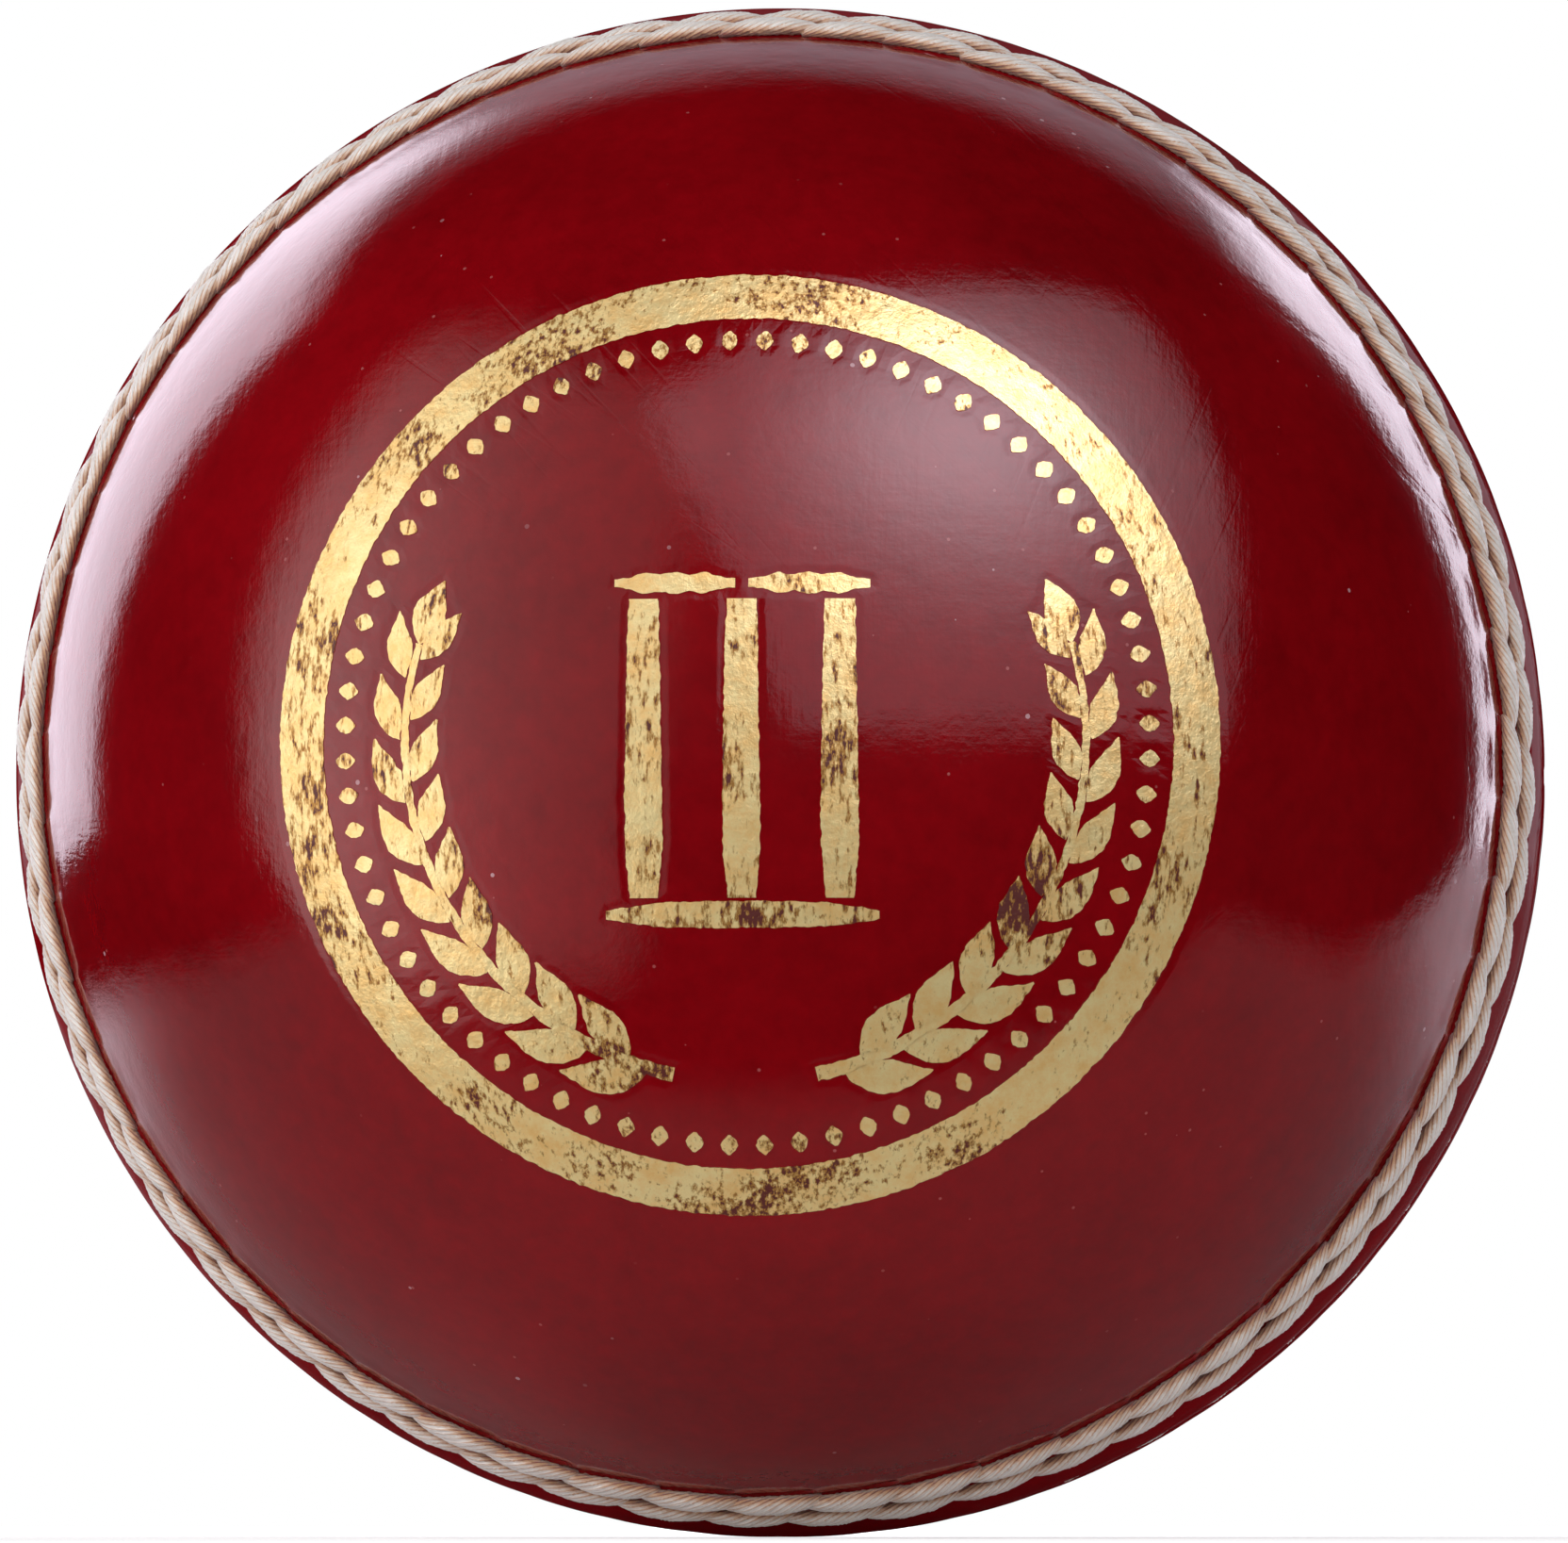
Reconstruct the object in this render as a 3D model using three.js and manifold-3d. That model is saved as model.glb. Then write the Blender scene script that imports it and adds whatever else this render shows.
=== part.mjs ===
// A hand-stitched cricket ball, laid out as the maker builds it: a cork nut wound with wool and
// wrapped in cork, four leather quarters closed into two lined cups, and six rows of seam stitching.
// Millimetres. The origin is the ball's centre, the cheeks face -Y and +Y, and the join between
// the two cups lies in the XZ plane.
import * as THREE from 'three';
import { mergeVertices } from 'three/addons/utils/BufferGeometryUtils.js';
import Module from 'manifold-3d';

const wasm = await Module();
wasm.setup();

// ---- driving dimensions ----
const CHEEK_RADIUS = 35.7; // outside of the leather, away from the seam
const LEATHER = 3.2; // thickness of the cover on a cheek
const PLAY = 0.3; // clearance between neighbouring layers
const LINER = 0.8; // thickness of the lining inside each cup
const LINER_PLAY = 0.1; // lining clear of the quarter-seam threads
const NUT_RADIUS = 12.0; // cork and rubber centre
const WOOL_OUTER = [15.4, 20.5, 25.4, 30.4]; // outside radius of each wool winding
const CORK_THICKNESS = [1.8, 1.8, 1.6]; // of the cork wrapped over the first three windings
const CORK_PIECES = 4; // curved pieces in each cork layer
const WOOL_TAIL_HOLE = 1.6; // radius of the hole where a winding's loose end is tucked in

const STITCHES = 56; // stitches in each row
const ROWS = [
  // distance of the row's middle from the join, half its width, and how high its threads stand
  { name: 'join', offset: 1.55, halfWidth: 0.85, top: 0.4, under: -0.06 },
  { name: 'middle', offset: 7.65, halfWidth: 1.05, top: 0.72, under: 0.33 },
  { name: 'outer', offset: 10.05, halfWidth: 1.15, top: 0.65, under: 0.25 },
];
const STITCH_SLANT = 0.3; // sideways drift of a stitch over its own length
const STITCH_DIP = 0.12; // how far a row sinks between one stitch and the next

// The cover's outline across the seam: distance from the join, height over the cheek's sphere.
const RIDGE = [
  [0.15, -0.35],
  [0.5, -0.16],
  [2.7, -0.16],
  [3.1, 0.4],
  [3.7, 0.7],
  [4.8, 0.62],
  [6.5, 0.27],
  [8.8, 0.17],
  [11.4, 0.1],
  [15.0, 0],
];

const QUARTER_THREAD = 0.5; // diameter of the thread that closes a quarter seam from the inside
const QUARTER_STITCH = 3.0; // length of one of its zigzag stitches
const QUARTER_STITCH_REACH = 1.2; // how far it goes to each side of the quarter seam
const QUARTER_SEAM_END = 0.3; // angle from the join to the first quarter stitch, in radians

const FOIL = 0.08; // thickness of the gold foil
const FOIL_LIFT = 0.05; // foil clear of the leather
const RING = { outer: 21.5, inner: 19.4 }; // the roundel's ring
const BRANCH = { outer: 17.4, inner: 13.6, from: 1.22, to: 2.97 }; // laurel bands, angles from the top
const WICKET = { halfWidth: 6.2, bottom: -8.6, top: 7.4, line: 1.2, stump: 1.7, overhang: 0.9 };

// ---- facet counts ----
const COVER_SEGMENTS = 36; // round the pole axis, on the cover
const COVER_CHEEK_STEPS = 7; // from the ridge to the pole
const COVER_LINING_STEPS = 9; // on the inside of the leather
const INNER_SEGMENTS = 20; // round the pole axis, inside the cover
const INNER_STEPS = 10; // from pole to pole, inside the cover
const QUARTER_THREAD_SIDES = 5;
const QUARTER_STEPS_PER_STITCH = 2;
const ROW_STEPS_PER_STITCH = 2;
const FOIL_CURVE_STEPS = 36; // round each full circle of the foil's outlines
const BRANCH_STEPS = 12; // along each branch
const MERGE_DISTANCE = 1e-4; // corners nearer than this are one corner

const QUARTER_TURN = Math.PI / 2;
const LEATHER_INNER = CHEEK_RADIUS - LEATHER;
const QUARTER_THREAD_RADIUS = LEATHER_INNER - PLAY - QUARTER_THREAD / 2;
const LINER_OUTER = LEATHER_INNER - PLAY - QUARTER_THREAD - LINER_PLAY;
const LINER_INNER = LINER_OUTER - LINER;

// ---- materials ----
function finish(color, roughness, metalness = 0) {
  return new THREE.MeshStandardMaterial({ color, roughness, metalness });
}
const leatherRed = () => finish(0x7d1420, 0.28);
const thread = () => finish(0xe4d6c8, 0.75);
const cork = () => finish(0xb98a5c, 0.9);
const wool = () => finish(0xd9cdb8, 0.95);
const gold = () => finish(0xe0b86a, 0.3, 1);

// ---- geometry helpers ----
function signedVolume(points, faces) {
  let volume = 0;
  const [a, b, c] = [new THREE.Vector3(), new THREE.Vector3(), new THREE.Vector3()];
  for (let i = 0; i < faces.length; i += 3) {
    a.fromArray(points, faces[i] * 3);
    b.fromArray(points, faces[i + 1] * 3);
    c.fromArray(points, faces[i + 2] * 3);
    volume += a.dot(b.cross(c)) / 6;
  }
  return volume;
}

// Joins shared corners, drops the slivers that a lathe leaves on its axis, and faces the skin outwards.
function closed(geometry) {
  const bare = geometry.clone();
  bare.deleteAttribute('normal');
  bare.deleteAttribute('uv');
  const merged = mergeVertices(bare, MERGE_DISTANCE);
  const points = merged.getAttribute('position').array;
  const faces = [];
  const index = merged.index.array;
  for (let i = 0; i < index.length; i += 3) {
    const [a, b, c] = [index[i], index[i + 1], index[i + 2]];
    if (a !== b && b !== c && c !== a) {
      faces.push(a, b, c);
    }
  }
  if (signedVolume(points, faces) < 0) {
    faces.reverse();
  }
  const out = new THREE.BufferGeometry();
  out.setAttribute('position', new THREE.BufferAttribute(new Float32Array(points), 3));
  out.setIndex(faces);
  return out;
}

function toSolid(geometry) {
  const skin = closed(geometry);
  const vertProperties = skin.getAttribute('position').array;
  const triVerts = new Uint32Array(skin.index.array);
  return new wasm.Manifold(new wasm.Mesh({ numProp: 3, vertProperties, triVerts }));
}

function toGeometry(solid) {
  const mesh = solid.getMesh();
  const geometry = new THREE.BufferGeometry();
  geometry.setAttribute('position', new THREE.BufferAttribute(new Float32Array(mesh.vertProperties), 3));
  geometry.setIndex(new THREE.BufferAttribute(new Uint32Array(mesh.triVerts), 1));
  return geometry;
}

const ball = new THREE.Group();

function addPiece(name, geometry, material) {
  geometry.computeVertexNormals();
  const mesh = new THREE.Mesh(geometry, material);
  mesh.name = name;
  ball.add(mesh);
}

// A point of an outline. In a lathe's outline the angle is the latitude from the join, negative
// towards the front cheek.
function polar(radius, angle) {
  return new THREE.Vector2(radius * Math.cos(angle), radius * Math.sin(angle));
}

function arc(radius, from, to, steps) {
  const points = [];
  for (let i = 0; i <= steps; i += 1) {
    points.push(polar(radius, from + ((to - from) * i) / steps));
  }
  return points;
}

function circlePoints(radius, sides) {
  return arc(radius, 0, Math.PI * 2, sides).slice(1);
}

// ---- the wound core ----
function nut() {
  const profile = arc(NUT_RADIUS, -QUARTER_TURN, QUARTER_TURN, INNER_STEPS);
  profile[0].x = 0;
  profile[profile.length - 1].x = 0;
  return closed(new THREE.LatheGeometry(profile, INNER_SEGMENTS));
}

// A hollow ball with one small hole at a pole. Side is +1 or -1, the pole with the hole.
function windingShell(inner, outer, side) {
  const step = Math.PI / INNER_STEPS;
  const last = QUARTER_TURN - step;
  const outerArc = arc(outer, -QUARTER_TURN * side, last * side, INNER_STEPS - 1);
  outerArc[0].x = 0;
  const innerArc = arc(inner, last * side, -QUARTER_TURN * side, INNER_STEPS - 1);
  innerArc[innerArc.length - 1].x = 0;
  const rimHeight = (radius) => side * Math.sqrt(radius ** 2 - WOOL_TAIL_HOLE ** 2);
  const rim = (radius) => new THREE.Vector2(WOOL_TAIL_HOLE, rimHeight(radius));
  return new THREE.LatheGeometry([...outerArc, rim(outer), rim(inner), ...innerArc], INNER_SEGMENTS);
}

// One gore of a cork layer, between two planes through the pole axis.
function corkGore(inner, outer, index) {
  const step = Math.PI / INNER_STEPS;
  const last = QUARTER_TURN - step;
  const outerArc = arc(outer, -last, last, INNER_STEPS - 2);
  const innerArc = arc(inner, last, -last, INNER_STEPS - 2);
  const profile = [...outerArc, ...innerArc, outerArc[0].clone()];
  const layer = toSolid(new THREE.LatheGeometry(profile, INNER_SEGMENTS));
  const reach = outer * 2;
  const block = new THREE.BoxGeometry(reach, reach * 2, reach);
  block.translate(reach / 2 + PLAY / 2, 0, reach / 2 + PLAY / 2);
  block.rotateY((index * Math.PI * 2) / CORK_PIECES);
  return toGeometry(layer.intersect(toSolid(block)));
}

function buildCore() {
  addPiece('core_nut', nut(), finish(0x8a5f3c, 0.85));
  let inner = NUT_RADIUS + PLAY;
  WOOL_OUTER.forEach((outer, layer) => {
    const side = layer % 2 ? -1 : 1;
    addPiece(`wool_winding_${layer + 1}`, closed(windingShell(inner, outer, side)), wool());
    inner = outer + PLAY;
    if (layer < CORK_THICKNESS.length) {
      const corkOuter = inner + CORK_THICKNESS[layer];
      for (let i = 0; i < CORK_PIECES; i += 1) {
        addPiece(`cork_layer_${layer + 1}_piece_${i + 1}`, corkGore(inner, corkOuter, i), cork());
      }
      inner = corkOuter + PLAY;
    }
  });
}

// ---- the cover ----
// The outline of one cup in the half plane of the lathe, closed on itself or on the axis.
function cupOutline() {
  const seam = RIDGE.map(([distance, height]) => polar(CHEEK_RADIUS + height, distance / CHEEK_RADIUS));
  const ridgeEnd = RIDGE[RIDGE.length - 1][0] / CHEEK_RADIUS;
  const cheek = arc(CHEEK_RADIUS, ridgeEnd, QUARTER_TURN, COVER_CHEEK_STEPS).slice(1);
  cheek[cheek.length - 1].x = 0;
  const edge = RIDGE[0][0];
  const lining = arc(LEATHER_INNER, QUARTER_TURN, edge / LEATHER_INNER, COVER_LINING_STEPS);
  lining[0].x = 0;
  return [...seam, ...cheek, ...lining, seam[0].clone()];
}

// Half of a cup, on one side of the plane through the pole axis that the quarter seam runs in.
function leatherQuarter(cupSide, seamTurn, half) {
  const cup = new THREE.LatheGeometry(cupOutline(), COVER_SEGMENTS);
  if (cupSide < 0) {
    cup.rotateX(Math.PI);
  }
  const reach = CHEEK_RADIUS * 3;
  const block = new THREE.BoxGeometry(reach, reach, reach);
  block.translate(half * (reach / 2 + PLAY / 2), 0, 0);
  block.rotateY(seamTurn);
  return toGeometry(toSolid(cup).intersect(toSolid(block)));
}

function liningCup(cupSide) {
  const rim = PLAY / LINER_INNER;
  const steps = INNER_STEPS / 2;
  const outerArc = arc(LINER_OUTER, QUARTER_TURN * cupSide, rim * cupSide, steps);
  const innerArc = arc(LINER_INNER, rim * cupSide, QUARTER_TURN * cupSide, steps);
  outerArc[0].x = 0;
  innerArc[innerArc.length - 1].x = 0;
  return closed(new THREE.LatheGeometry([...outerArc, ...innerArc], INNER_SEGMENTS));
}

// The zigzag thread behind a quarter seam, laid along a half circle from rim to rim of its cup.
function quarterSeamThread(cupSide, seamTurn) {
  const sweep = Math.PI - 2 * QUARTER_SEAM_END;
  const count = Math.round((sweep * QUARTER_THREAD_RADIUS) / QUARTER_STITCH);
  const route = [];
  for (let i = 0; i <= count; i += 1) {
    const angle = QUARTER_SEAM_END + (sweep * i) / count;
    const across = (i % 2 ? 1 : -1) * QUARTER_STITCH_REACH;
    const point = new THREE.Vector3(across, Math.sin(angle) * QUARTER_THREAD_RADIUS * cupSide, 0);
    point.z = Math.cos(angle) * QUARTER_THREAD_RADIUS;
    route.push(point.setLength(QUARTER_THREAD_RADIUS));
  }
  const section = new THREE.Shape(circlePoints(QUARTER_THREAD / 2, QUARTER_THREAD_SIDES));
  const extrudePath = new THREE.CatmullRomCurve3(route);
  const steps = count * QUARTER_STEPS_PER_STITCH;
  const geometry = new THREE.ExtrudeGeometry(section, { extrudePath, steps });
  geometry.rotateY(seamTurn);
  return closed(geometry);
}

function buildCover() {
  const cups = [
    { name: 'front', side: -1, seamTurn: 0, halves: ['right', 'left'] },
    { name: 'rear', side: 1, seamTurn: QUARTER_TURN, halves: ['bottom', 'top'] },
  ];
  for (const cup of cups) {
    cup.halves.forEach((half, i) => {
      const solid = leatherQuarter(cup.side, cup.seamTurn, i ? -1 : 1);
      addPiece(`leather_quarter_${cup.name}_${half}`, solid, leatherRed());
    });
    addPiece(`quarter_seam_thread_${cup.name}`, quarterSeamThread(cup.side, cup.seamTurn), thread());
    addPiece(`lining_${cup.name}`, liningCup(cup.side), finish(0xc9a27a, 0.8));
  }
}

// ---- the seam ----
// A ring of thread round the ball. Its cross-section leans and dips once for every stitch.
function stitchRow(row, cupSide) {
  const low = CHEEK_RADIUS + row.under;
  const high = CHEEK_RADIUS + row.top;
  const latitude = (distance) => (cupSide * distance) / CHEEK_RADIUS;
  const section = [
    polar(low, latitude(row.offset - row.halfWidth)),
    polar(low, latitude(row.offset + row.halfWidth)),
    polar(high, latitude(row.offset + row.halfWidth / 2)),
    polar(high, latitude(row.offset - row.halfWidth / 2)),
  ];
  section.push(section[0].clone());
  const ring = new THREE.LatheGeometry(section, STITCHES * ROW_STEPS_PER_STITCH);
  const position = ring.getAttribute('position');
  const point = new THREE.Vector3();
  for (let i = 0; i < position.count; i += 1) {
    point.fromBufferAttribute(position, i);
    const turns = Math.atan2(point.x, point.z) / (Math.PI * 2);
    const around = Math.round(turns * STITCHES * ROW_STEPS_PER_STITCH);
    const between = around % ROW_STEPS_PER_STITCH !== 0;
    const onTop = point.length() > (low + high) / 2;
    if (onTop && between) {
      point.setLength(point.length() - STITCH_DIP);
    }
    point.y += ((between ? -STITCH_SLANT : STITCH_SLANT) / 2) * cupSide;
    position.setXYZ(i, point.x, point.y, point.z);
  }
  return closed(ring);
}

function buildSeam() {
  for (const row of ROWS) {
    addPiece(`stitch_row_front_${row.name}`, stitchRow(row, -1), thread());
    addPiece(`stitch_row_rear_${row.name}`, stitchRow(row, 1), thread());
  }
}

// ---- the gold stamp on the front cheek ----
// The angle measured from the top of the stamp, clockwise as its reader sees it.
function clockwise(angle) {
  return QUARTER_TURN - angle;
}

function ringOutline() {
  const outline = new THREE.Shape(circlePoints(RING.outer, FOIL_CURVE_STEPS));
  outline.holes.push(new THREE.Path(circlePoints(RING.inner, FOIL_CURVE_STEPS)));
  return outline;
}

function branchOutline(mirror) {
  const from = clockwise(BRANCH.from * mirror);
  const to = clockwise(BRANCH.to * mirror);
  const outside = arc(BRANCH.outer, from, to, BRANCH_STEPS);
  const inside = arc(BRANCH.inner, to, from, BRANCH_STEPS);
  return new THREE.Shape([...outside, ...inside]);
}

// A block that reaches through the front cheek, given by its sides as the stamp's reader sees it.
function bar(left, bottom, right, top) {
  const block = new THREE.BoxGeometry(right - left, CHEEK_RADIUS * 2, top - bottom);
  block.translate((left + right) / 2, -CHEEK_RADIUS, (bottom + top) / 2);
  return toSolid(block);
}

// Three stumps standing on the crease, with the bails across their tops.
function wicketPrism() {
  const { halfWidth, bottom, top, line, stump } = WICKET;
  const crease = bar(-halfWidth, bottom, halfWidth, bottom + line);
  const bails = bar(-halfWidth, top - line, halfWidth, top);
  const spacing = halfWidth - WICKET.overhang - stump / 2;
  const stumps = [-spacing, 0, spacing].map((x) => bar(x - stump / 2, bottom, x + stump / 2, top));
  return stumps.reduce((wicket, piece) => wicket.add(piece), crease.add(bails));
}

// A thin skin that lies parallel to every facet of the front cheek.
function cheekSkin() {
  const ridgeEnd = RIDGE[RIDGE.length - 1][0] / CHEEK_RADIUS;
  const under = CHEEK_RADIUS + FOIL_LIFT;
  const over = under + FOIL;
  const outerArc = arc(over, -ridgeEnd, -QUARTER_TURN, COVER_CHEEK_STEPS);
  const innerArc = arc(under, -QUARTER_TURN, -ridgeEnd, COVER_CHEEK_STEPS);
  outerArc[outerArc.length - 1].x = 0;
  innerArc[0].x = 0;
  const skin = new THREE.LatheGeometry([...innerArc, ...outerArc], COVER_SEGMENTS);
  return toSolid(skin);
}

// An outline drawn in X and Z, carried through the front cheek.
function outlinePrism(outline) {
  const prism = new THREE.ExtrudeGeometry(outline, { depth: CHEEK_RADIUS * 2, bevelEnabled: false });
  return toSolid(prism.rotateX(QUARTER_TURN));
}

function foilPiece(prism) {
  return toGeometry(cheekSkin().intersect(prism));
}

function buildStamp() {
  addPiece('stamp_ring', foilPiece(outlinePrism(ringOutline())), gold());
  addPiece('stamp_wicket', foilPiece(wicketPrism()), gold());
  addPiece('stamp_branch_right', foilPiece(outlinePrism(branchOutline(1))), gold());
  addPiece('stamp_branch_left', foilPiece(outlinePrism(branchOutline(-1))), gold());
}

buildCore();
buildCover();
buildSeam();
buildStamp();

export default ball;
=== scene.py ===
import math

import bmesh
import bpy
import numpy as np
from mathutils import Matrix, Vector
from mathutils.kdtree import KDTree


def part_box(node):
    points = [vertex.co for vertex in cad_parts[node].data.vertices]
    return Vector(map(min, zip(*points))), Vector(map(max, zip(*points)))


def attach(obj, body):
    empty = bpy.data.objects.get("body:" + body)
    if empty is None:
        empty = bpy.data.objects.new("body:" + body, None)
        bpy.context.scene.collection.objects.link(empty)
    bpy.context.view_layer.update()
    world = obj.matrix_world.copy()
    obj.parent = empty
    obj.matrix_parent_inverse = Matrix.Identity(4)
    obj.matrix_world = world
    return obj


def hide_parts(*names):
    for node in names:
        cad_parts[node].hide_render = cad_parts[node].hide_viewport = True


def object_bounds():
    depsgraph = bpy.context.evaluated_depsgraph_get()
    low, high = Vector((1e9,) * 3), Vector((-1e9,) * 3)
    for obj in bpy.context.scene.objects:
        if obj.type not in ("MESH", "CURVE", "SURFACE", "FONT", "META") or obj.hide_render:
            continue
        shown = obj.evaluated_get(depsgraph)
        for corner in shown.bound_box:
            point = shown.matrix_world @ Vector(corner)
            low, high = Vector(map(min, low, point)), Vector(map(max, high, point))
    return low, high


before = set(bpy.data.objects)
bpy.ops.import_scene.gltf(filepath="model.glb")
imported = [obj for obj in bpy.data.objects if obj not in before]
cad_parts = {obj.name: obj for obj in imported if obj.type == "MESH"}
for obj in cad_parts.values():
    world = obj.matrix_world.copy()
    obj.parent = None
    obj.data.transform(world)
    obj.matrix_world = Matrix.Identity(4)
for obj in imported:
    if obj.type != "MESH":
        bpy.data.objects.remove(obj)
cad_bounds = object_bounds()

MM = 0.001
MICRON = 0.000001
TAU = 2 * math.pi
RNG = np.random.default_rng(7)

# ---- sizes taken from the frame, in millimetres ----
CHEEK = -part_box("leather_quarter_front_left")[0][1] / MM
POLE = CHEEK * math.pi / 2  # distance from the join to the middle of the cheek
FLOOR_Z = cad_bounds[0][2]  # in metres

# ---- the photograph's viewing angle ----
CAMERA_DISTANCE = 0.74
CAMERA_AZIMUTH = math.radians(3.0)  # to the right of the stamped cheek's axis
CAMERA_ELEVATION = math.radians(-2.77)
SENSOR_WIDTH = 36.0
BALL_FILLS = 0.9775  # of the picture's width
BALL_SILHOUETTE = 36.35 * MM  # radius that the long lens sees
AIM_RIGHT = 0.08 * MM
AIM_UP = 0.15 * MM


# ---- mesh helpers ----
def new_object(name, points, faces, mat, smooth=True, normals=None):
    """A mesh object from points in millimetres."""
    mesh = bpy.data.meshes.new(name)
    mesh.from_pydata((np.asarray(points) * MM).tolist(), [], faces)
    mesh.materials.append(mat)
    if smooth:
        mesh.polygons.foreach_set("use_smooth", [True] * len(mesh.polygons))
    mesh.update()
    if normals is not None:
        mesh.normals_split_custom_set_from_vertices(normals.tolist())
    piece = bpy.data.objects.new(name, mesh)
    bpy.context.scene.collection.objects.link(piece)
    return piece


def point_values(piece, name, values):
    """A number at each point of a piece, for its material to read."""
    attribute = piece.data.attributes.new(name, "FLOAT", "POINT")
    attribute.data.foreach_set("value", values)


def to_rear(points):
    """The rear half is the front half turned half a turn about the line halfway between X and Z."""
    points = np.asarray(points)
    return np.stack([points[..., 2], -points[..., 1], points[..., 0]], -1)


def on_ball(radius, distance, azimuth):
    """A point of the front half: distance from the join along the cheek, azimuth from +X towards +Z."""
    latitude = np.asarray(distance) / CHEEK
    out = radius * np.cos(latitude)
    return np.stack([out * np.cos(azimuth), -radius * np.sin(latitude), out * np.sin(azimuth)], -1)


def bell(offset, width):
    """1 at no offset, falling to nothing a few widths away."""
    return np.exp(-((offset / width) ** 2))


# ---- the seam's layout, in millimetres ----
STITCHES = 56
PITCH = TAU / STITCHES
ROW_SHAPE = {"join": (0.70, 0.14), "middle": (0.82, 0.24), "outer": (0.84, 0.3)}  # half width and lean
ROW_PHASE = {"join": 0.0, "middle": 0.15, "outer": 0.5}  # where a row's first stitch starts, in stitches
ROW_SHIFT = 0.12  # how much nearer the join the threads lie than the middle of their CAD solid


def row_middle(cad_node):
    """Distance of a row of stitches from the join, and the radius that its threads reach."""
    low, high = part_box(cad_node)
    y = -(low[1] + high[1]) / 2 / MM
    x = high[0] / MM
    return math.atan2(y, x) * CHEEK, math.hypot(x, y)


ROWS = {name: row_middle(f"stitch_row_front_{name}") for name in ROW_SHAPE}

# height of the leather over the cheek's sphere, at distances from the join
RIDGE = np.array([
    [0.0, -0.50], [0.35, -0.22], [0.8, -0.12], [2.4, -0.10], [2.9, 0.30], [3.5, 0.64], [4.1, 0.66],
    [5.0, 0.56], [6.2, 0.34], [6.8, 0.24], [8.8, 0.14], [11.2, 0.05], [12.4, 0.02], [14.5, 0.0],
])
RIDGE_SPAN = (-2.0, 17.0)
RIDGE_STEP = 0.05
RIDGE_SMOOTHING = 7  # steps


def soften(profile):
    """The profile with its corners rounded: distances and heights."""
    at = np.arange(*RIDGE_SPAN, RIDGE_STEP)
    raw = np.interp(at, profile[:, 0], profile[:, 1])
    kernel = np.hanning(RIDGE_SMOOTHING + 2)[1:-1]
    kernel /= kernel.sum()
    return at, np.convolve(np.pad(raw, RIDGE_SMOOTHING // 2, mode="edge"), kernel, mode="valid")


RIDGE_AT, RIDGE_HEIGHT = soften(RIDGE)

PUCKER_DEPTH = 0.20  # of the dent along both sides of a row
PUCKER_SHALLOW = 0.12  # how much less deep it is where a stitch dives
PUCKER_WIDTH = 0.17
PUCKER_GAP = 0.03  # from the thread's side
PUFF_HEIGHT = 0.03  # of the leather between the stitches' ends, beyond a row
PUFF_OFFSET = 0.9
PUFF_WIDTH = 0.6
CREASE_DEPTH = 0.12  # at the rear cheek's quarter seam
CREASE_WIDTH = 0.17


def cover_height(distance, azimuth, creased=False):
    """Leather height with the seam's ridge, and puckers where the stitches go in."""
    distance = np.asarray(distance, float)
    height = np.interp(distance, RIDGE_AT, RIDGE_HEIGHT)
    for name, (middle, _) in ROWS.items():
        half_width, lean = ROW_SHAPE[name]
        phase = azimuth / PITCH - ROW_PHASE[name]
        dive = (0.5 + 0.5 * np.cos(TAU * phase)) ** 3
        drift = lean * (2.0 * (phase % 1.0) - 1.0)
        for sign in (-1, 1):
            edge = middle - ROW_SHIFT + drift + sign * (half_width + PUCKER_GAP)
            height = height - (PUCKER_DEPTH - PUCKER_SHALLOW * dive) * bell(distance - edge, PUCKER_WIDTH)
        beyond = bell(distance - middle - half_width - PUFF_OFFSET, PUFF_WIDTH)
        height = height + PUFF_HEIGHT * beyond * (1.0 - dive)
    if creased:
        across = CHEEK * np.cos(distance / CHEEK) * np.cos(azimuth)
        height = height - CREASE_DEPTH * bell(across, CREASE_WIDTH)
    return height


# ---- shader helpers ----
def material(name):
    mat = bpy.data.materials.new(name)
    mat.use_nodes = True
    return mat, mat.node_tree, mat.node_tree.nodes["Principled BSDF"]


def object_place(tree):
    return tree.nodes.new("ShaderNodeTexCoord").outputs["Object"]


def put(tree, socket, value):
    """Set a socket to a number or a colour, or link it."""
    if isinstance(value, (int, float)):
        socket.default_value = value
    elif isinstance(value, tuple):
        socket.default_value = (*value, 1.0)
    else:
        tree.links.new(value, socket)


def node(tree, kind, **values):
    """A node with its inputs or its own settings given by name."""
    made = tree.nodes.new(kind)
    for key, value in values.items():
        if key in made.inputs:
            made.inputs[key].default_value = value
        else:
            setattr(made, key, value)
    return made


def texture(tree, kind, vector, **values):
    """A texture or another node that works on a vector."""
    made = node(tree, kind, **values)
    tree.links.new(vector, made.inputs["Vector"])
    return made


def noise(tree, vector, scale, detail=4.0, roughness=0.5, stretch=None):
    if stretch is not None:
        vector = texture(tree, "ShaderNodeMapping", vector, Scale=stretch).outputs["Vector"]
    made = texture(tree, "ShaderNodeTexNoise", vector, Scale=scale, Detail=detail, Roughness=roughness)
    return made.outputs["Fac"]


def rotated(tree, vector, angles):
    return texture(tree, "ShaderNodeMapping", vector, Rotation=angles).outputs["Vector"]


def axes(tree, vector):
    """The outputs X, Y and Z of a vector."""
    return texture(tree, "ShaderNodeSeparateXYZ", vector).outputs


def chance(tree, cells):
    """A number from 0 to 1 that is the same all over a cell of a Voronoi texture."""
    made = tree.nodes.new("ShaderNodeSeparateColor")
    tree.links.new(cells.outputs["Color"], made.inputs["Color"])
    return made.outputs["Red"]


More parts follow.
